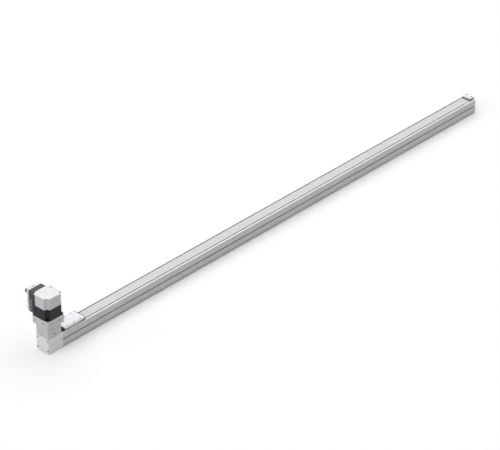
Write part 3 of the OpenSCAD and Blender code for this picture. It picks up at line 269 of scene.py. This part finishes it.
def toothed_rubber(name, colour):
    """Belt: rubber with the faint weave of its fabric face."""
    f = Finish(name)
    weave = f.math("MULTIPLY", f.bands("X", 0.5 * MM), f.bands("Z", 0.5 * MM))
    cloud = f.noise(f.place, scale=90.0)
    base = f.mix(f.ramp(cloud, 0.3, 0.7, 0.0, 1.0), shade(colour, 0.8), shade(colour, 1.25))
    base = f.mix(f.ramp(weave, 0.0, 0.5, 0.4, 0.0), base, shade(colour, 0.5))
    f.relief(weave, 0.08 * MM, SMALL_EDGE)
    return f.surface(base, f.ramp(cloud, 0.3, 0.7, 0.6, 0.75), 0.0)


def threaded(name, colour, start_y):
    """Plated connector body with a fine thread on its barrel beyond the nut, and a dark end."""
    f = Finish(name)
    split = f.nodes.new("ShaderNodeSeparateXYZ")
    f.link(f.place, split.inputs["Vector"])
    on_barrel = f.ramp(split.outputs["Y"], start_y, start_y + 0.3 * MM, 0.0, 1.0)
    ridges = f.math("MULTIPLY", f.bands("Y", 1.0 * MM), on_barrel)
    cloud = f.noise(f.place, scale=400.0)
    base = f.mix(f.ramp(cloud, 0.3, 0.7, 0.0, 1.0), shade(colour, 0.92), shade(colour, 1.05))
    base = f.mix(f.ramp(ridges, 0.0, 0.5, 0.3, 0.0), base, shade(colour, 0.6))
    at_end = f.ramp(split.outputs["Y"], start_y + 3 * MM, start_y + 5 * MM, 0.0, 1.0)
    base = f.mix(at_end, base, shade(colour, 0.3))
    f.relief(ridges, 0.35 * MM, SMALL_EDGE)
    return f.surface(base, f.ramp(cloud, 0.3, 0.7, 0.16, 0.3), 0.6)


# ---- Materials of the record's slots ----

ALONG = (3.0, 1500.0, 1500.0)        # grain drawn out along the travel
EVEN = (1400.0, 1400.0, 1400.0)      # grain with no direction
RING = (2500.0, 1.0, 2500.0)         # grain in rings around a turned part
idler_low, idler_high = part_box("idler_pulley")
idler_axis = ((idler_low.x + idler_high.x) / 2, 0.0)
connector_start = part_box("electronics_cover")[1].y + 2.6 * MM

ALUMINIUM = (0.76, 0.76, 0.77)
PROFILE = (0.74, 0.74, 0.745)
CAST = (0.70, 0.70, 0.71)
BLACK = (0.022, 0.022, 0.024)

SLOTS = {
    "anodised_profile": metal("anodised_profile", PROFILE, 0.42, ALONG, 0.004 * MM),
    "clear_aluminium": metal("clear_aluminium", ALUMINIUM, 0.40, EVEN, 0.004 * MM),
    "cast_aluminium": metal("cast_aluminium", CAST, 0.48, EVEN, 0.012 * MM,
                            edge=SOFT_EDGE),
    "pulley_aluminium": metal("pulley_aluminium", ALUMINIUM, 0.35, RING, 0.006 * MM,
                              turned=(0.0, 0.0)),
    "strip_steel": metal("strip_steel", (0.55, 0.55, 0.55), 0.36, ALONG, 0.002 * MM),
    "rail_steel": metal("rail_steel", (0.42, 0.43, 0.45), 0.25, ALONG, 0.002 * MM, 1.0),
    "bearing_steel": metal("bearing_steel", (0.55, 0.56, 0.58), 0.2, RING, 0.002 * MM, 1.0,
                           turned=(0.0, 0.0)),
    "rotor_steel": laminated("rotor_steel", (0.22, 0.22, 0.23), 0.35, 0.5 * MM, 0.05 * MM, 0.9),
    "black_screws": metal("black_screws", (0.035, 0.034, 0.036), 0.38, EVEN, 0.004 * MM, 0.7),
    "zinc_screws": metal("zinc_screws", (0.5, 0.51, 0.52), 0.3, EVEN, 0.003 * MM, 1.0),
    "black_lamination": laminated("black_lamination", (0.014, 0.014, 0.015), 0.55, 0.5 * MM,
                                  0.08 * MM, 0.0),
    "copper_wire": wound("copper_wire", (0.5, 0.14, 0.05)),
    "nickel_connector": threaded("nickel_connector", (0.66, 0.655, 0.64), connector_start),
    "dark_grey_plastic": moulded("dark_grey_plastic", (0.042, 0.042, 0.044), 0.6),
    "white_plastic": moulded("white_plastic", (0.80, 0.80, 0.79), 0.45),
    "panel_film": moulded("panel_film", (0.085, 0.13, 0.18), 0.25, 1600.0, 0.004 * MM),
    "key_plastic": moulded("key_plastic", (0.17, 0.24, 0.31), 0.45),
    "plug_plastic": moulded("plug_plastic", (0.45, 0.45, 0.455), 0.5),
    "black_plastic": moulded("black_plastic", BLACK, 0.45),
    "green_plastic": moulded("green_plastic", (0.02, 0.09, 0.05), 0.45),
    "green_board": board("green_board", (0.01, 0.08, 0.025)),
    "black_rubber": moulded("black_rubber", BLACK, 0.7, 1200.0, 0.03 * MM),
    "red_rubber": moulded("red_rubber", (0.35, 0.02, 0.015), 0.55),
}
TURNED_STEEL = metal("idler_steel", (0.55, 0.56, 0.58), 0.2, RING, 0.002 * MM, 1.0,
                     turned=idler_axis)
OWN_FINISH = {
    "belt": toothed_rubber("belt_rubber", (0.02, 0.02, 0.021)),
    "idler_pulley": metal("idler_aluminium", ALUMINIUM, 0.35, RING, 0.006 * MM, turned=idler_axis),
    "idler_axle": TURNED_STEEL,
    "idler_bearing_inners": TURNED_STEEL,
    "idler_bearing_outers": TURNED_STEEL,
    "drive_block": metal("block_aluminium", (0.95, 0.95, 0.955), 0.42, EVEN, 0.004 * MM),
    "coupling_housing": metal("housing_aluminium", CAST, 0.44, EVEN, 0.006 * MM),
}


def dress_cad_nodes():
    """Give each CAD node the finish of its slot."""
    slot_of = {s["node"]: s["material_slot"] for s in frame["record"]["subparts"]}
    for name, node in frame["nodes"].items():
        finish = OWN_FINISH.get(name) or SLOTS[slot_of[name]]
        for place in node.material_slots:
            place.material = finish


# ---- Added detail ----

SLIDE_THREAD_X = 26 * MM        # between the threads along the travel
SLIDE_THREAD_Y = 40 * MM        # between the two rows of threads
PLUG_FROM_EDGE_X = 5 * MM
PLUG_FROM_EDGE_Y = 20 * MM
RING_POINTS = 12                # round the section of a seal ring


def mesh_piece(build, body, slot):
    """Make a piece from a function that fills a bmesh, and let it ride on a body."""
    name = build.__name__
    mesh = bpy.data.meshes.new(name)
    bm = bmesh.new()
    build(bm)
    bmesh.ops.recalc_face_normals(bm, faces=bm.faces)
    bm.to_mesh(mesh)
    bm.free()
    mesh.materials.append(SLOTS[slot])
    piece = bpy.data.objects.new(name, mesh)
    bpy.context.scene.collection.objects.link(piece)
    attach(piece, body)


def lathe(bm, outline, centre, towards=(0.0, 0.0, 1.0), hollow=False, segments=48):
    """Turn an outline of radius and height around an axis through a centre.

    A hollow one has an outline that runs round its own section."""
    turn = Vector((0.0, 0.0, 1.0)).rotation_difference(Vector(towards)).to_matrix()
    loops = []
    for radius, height in outline:
        ring = []
        for k in range(segments):
            angle = 2 * math.pi * k / segments
            point = Vector((radius * math.cos(angle), radius * math.sin(angle), height))
            ring.append(bm.verts.new(Vector(centre) + turn @ point))
        loops.append(ring)
    pairs = list(zip(loops, loops[1:] + loops[:1])) if hollow else list(zip(loops, loops[1:]))
    for low, high in pairs:
        for k in range(segments):
            after = (k + 1) % segments
            bm.faces.new((low[k], low[after], high[after], high[k]))
    if not hollow:
        bm.faces.new(list(reversed(loops[0])))
        bm.faces.new(loops[-1])


def soft_block(bm, low, high, edge):
    """Block between two corners with its edges rounded."""
    low, high = Vector(low), Vector(high)
    centre = Matrix.Translation((low + high) / 2)
    made = bmesh.ops.create_cube(bm, size=1.0, matrix=centre @ Matrix.Diagonal((*(high - low), 1.0)))
    edges = list({e for v in made["verts"] for e in v.link_edges})
    bmesh.ops.bevel(bm, geom=edges, offset=edge, segments=3, affect="EDGES", profile=0.5)


def vent_plug(bm):
    """Small round plug in the top of the motor, with a dished middle."""
    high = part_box("end_bell")[1]
    centre = (high.x - PLUG_FROM_EDGE_X, high.y - PLUG_FROM_EDGE_Y, high.z)
    outline = [(2.6, -0.3), (2.6, 0.15), (2.4, 0.35), (1.7, 0.35), (1.5, 0.1), (0.4, 0.05)]
    lathe(bm, [(r * MM, h * MM) for r, h in outline], centre)


def thread_hole_shade(bm):
    """Dark sleeves lining the six threads of the slide, flush with its face: painted shade inside
    the holes.
    """
    low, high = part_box("slide_plate")
    middle = (low + high) / 2
    outline = [(1.7, -5.5), (2.07, -5.5), (2.07, -0.35), (1.9, -0.15), (1.7, -0.45)]
    for i in (-1, 0, 1):
        for side in (-1, 1):
            place = (middle.x + i * SLIDE_THREAD_X, middle.y + side * SLIDE_THREAD_Y / 2, high.z)
            lathe(bm, [(r * MM, h * MM) for r, h in outline], place, hollow=True, segments=32)


def pry_slot_shade(bm):
    """Short dark pads in the gap between the two flanges, one on each side: painted shade in the pry
    slots there.
    """
    low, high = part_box("motor_flange")
    top_of_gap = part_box("coupling_housing")[1].z
    z0, z1 = top_of_gap - 0.5 * MM, top_of_gap + 1.9 * MM
    half, proud, inside = 2.4 * MM, 0.08 * MM, 1.0 * MM
    for side in (-1, 1):
        x = low.x if side < 0 else high.x
        y = side * 13 * MM
        soft_block(bm, (min(x + side * proud, x - side * inside), y - half, z0),
                   (max(x + side * proud, x - side * inside), y + half, z1), 0.4 * MM)
        y = low.y if side < 0 else high.y
        x = -side * 15.5 * MM
        soft_block(bm, (x - half, min(y + side * proud, y - side * inside), z0),
                   (x + half, max(y + side * proud, y - side * inside), z1), 0.4 * MM)


def frame_gap_shadow(bm):
    """Thin dark strip between the electronics box and the front corner of the motor: painted shadow
    in the gap there.
    """
    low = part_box("electronics_frame")[0]
    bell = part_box("end_bell")[1]
    front = bell.y - 15.0 * MM
    soft_block(bm, (low.x - 0.12 * MM, front, low.z + 9.6 * MM),
               (low.x + 0.5 * MM, front + 7.4 * MM, bell.z - 0.8 * MM), 0.1 * MM)


def connector_rings(bm):
    """Seal rings round the ends of both connector barrels."""
    for name in ("power_connector", "signal_connector"):
        low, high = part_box(name)
        centre = ((low.x + high.x) / 2, high.y - 3.2 * MM, (low.z + high.z) / 2)
        outline = []
        for k in range(RING_POINTS):
            angle = 2 * math.pi * k / RING_POINTS
            outline.append(((6.3 + 0.9 * math.cos(angle)) * MM, 1.6 * math.sin(angle) * MM))
        lathe(bm, outline, centre, (0.0, 1.0, 0.0), hollow=True)


# ---- Stage ----

TARGET = Vector((0.86146, 0.0, 0.03502))
CAMERA_AZIMUTH = -47.29
CAMERA_ELEVATION = 31.37
CAMERA_DISTANCE = 8.2173
CAMERA_LENS = 189.97
WHITE = (1.0, 1.0, 1.0, 1.0)
FLOOR_SEEN = (0.97, 0.97, 0.97, 1.0)
FLOOR_LIT = (0.35, 0.35, 0.35, 1.0)      # what it throws back on the object
WORLD_LIGHT = 0.2


def direction(azimuth, elevation):
    """Unit vector from the target, with an azimuth of 0 degrees along -Y."""
    a, e = math.radians(azimuth), math.radians(elevation)
    return Vector((math.sin(a) * math.cos(e), -math.cos(a) * math.cos(e), math.sin(e)))


def add_camera():
    back = direction(CAMERA_AZIMUTH, CAMERA_ELEVATION)
    data = bpy.data.cameras.new("camera")
    data.lens = CAMERA_LENS
    data.sensor_width = 36.0
    data.clip_end = 100.0
    camera = bpy.data.objects.new("camera", data)
    camera.location = TARGET + back * CAMERA_DISTANCE
    camera.rotation_euler = (-back).to_track_quat("-Z", "Y").to_euler()
    bpy.context.scene.collection.objects.link(camera)
    bpy.context.scene.camera = camera


def seen_directly(nodes, links):
    """Output that is 1 where the camera, a reflection or a clear material looks, 0 for light."""
    path = nodes.new("ShaderNodeLightPath")
    either = path.outputs["Is Camera Ray"]
    for name in ("Is Glossy Ray", "Is Transmission Ray"):
        node = nodes.new("ShaderNodeMath")
        node.operation = "MAXIMUM"
        links.new(either, node.inputs[0])
        links.new(path.outputs[name], node.inputs[1])
        either = node.outputs["Value"]
    return either


def add_floor():
    mesh = bpy.data.meshes.new("floor")
    half = 20.0
    height = cad_box[0].z - 0.05 * MM
    corners = [(-half, -half, height), (half, -half, height), (half, half, height),
               (-half, half, height)]
    mesh.from_pydata(corners, [], [(0, 1, 2, 3)])
    finish = bpy.data.materials.new("floor")
    finish.use_nodes = True
    nodes, links = finish.node_tree.nodes, finish.node_tree.links
    shader = nodes["Principled BSDF"]
    pale = nodes.new("ShaderNodeMix")
    pale.data_type = "RGBA"
    pale.inputs["A"].default_value = FLOOR_LIT
    pale.inputs["B"].default_value = FLOOR_SEEN
    links.new(seen_directly(nodes, links), pale.inputs["Factor"])
    links.new(pale.outputs["Result"], shader.inputs["Base Color"])
    shader.inputs["Roughness"].default_value = 0.9
    shader.inputs["Specular IOR Level"].default_value = 0.1
    mesh.materials.append(finish)
    floor = bpy.data.objects.new("floor", mesh)
    bpy.context.scene.collection.objects.link(floor)


def add_world():
    """Even soft light, seen as white by the camera and in reflections."""
    world = bpy.data.worlds.new("studio")
    bpy.context.scene.world = world
    world.use_nodes = True
    nodes, links = world.node_tree.nodes, world.node_tree.links
    light = nodes["Background"]
    light.inputs["Color"].default_value = WHITE
    light.inputs["Strength"].default_value = WORLD_LIGHT
    seen = nodes.new("ShaderNodeBackground")
    seen.inputs["Color"].default_value = WHITE
    seen.inputs["Strength"].default_value = 1.0
    mix = nodes.new("ShaderNodeMixShader")
    links.new(seen_directly(nodes, links), mix.inputs["Fac"])
    links.new(light.outputs["Background"], mix.inputs[1])
    links.new(seen.outputs["Background"], mix.inputs[2])
    links.new(mix.outputs["Shader"], nodes["World Output"].inputs["Surface"])


def add_lamp(name, azimuth, elevation, spread, strength):
    """Distant soft light from a direction, as even at the far end as at the drive."""
    back = direction(azimuth, elevation)
    data = bpy.data.lights.new(name, "SUN")
    data.angle = math.radians(spread)
    data.energy = strength
    lamp = bpy.data.objects.new(name, data)
    lamp.location = TARGET + back * 3.0
    lamp.rotation_euler = (-back).to_track_quat("-Z", "Y").to_euler()
    bpy.context.scene.collection.objects.link(lamp)


def set_stage():
    add_camera()
    add_floor()
    add_world()
    add_lamp("key", -100, 35, 60, 1.0)
    add_lamp("top", 120, 75, 90, 2.1)
    bpy.context.scene.view_settings.view_transform = "Standard"


dress_cad_nodes()
mesh_piece(vent_plug, "frame", "black_plastic")
# dark sleeves painted as the shade inside the slide's threaded holes
mesh_piece(thread_hole_shade, "carriage", "black_screws")
# dark pads painted as the shade in the pry slots between the flanges
mesh_piece(pry_slot_shade, "frame", "black_rubber")
# dark strip painted as the shadow in the gap between the electronics box and the motor
mesh_piece(frame_gap_shadow, "frame", "black_rubber")
mesh_piece(connector_rings, "frame", "black_rubber")
set_stage()
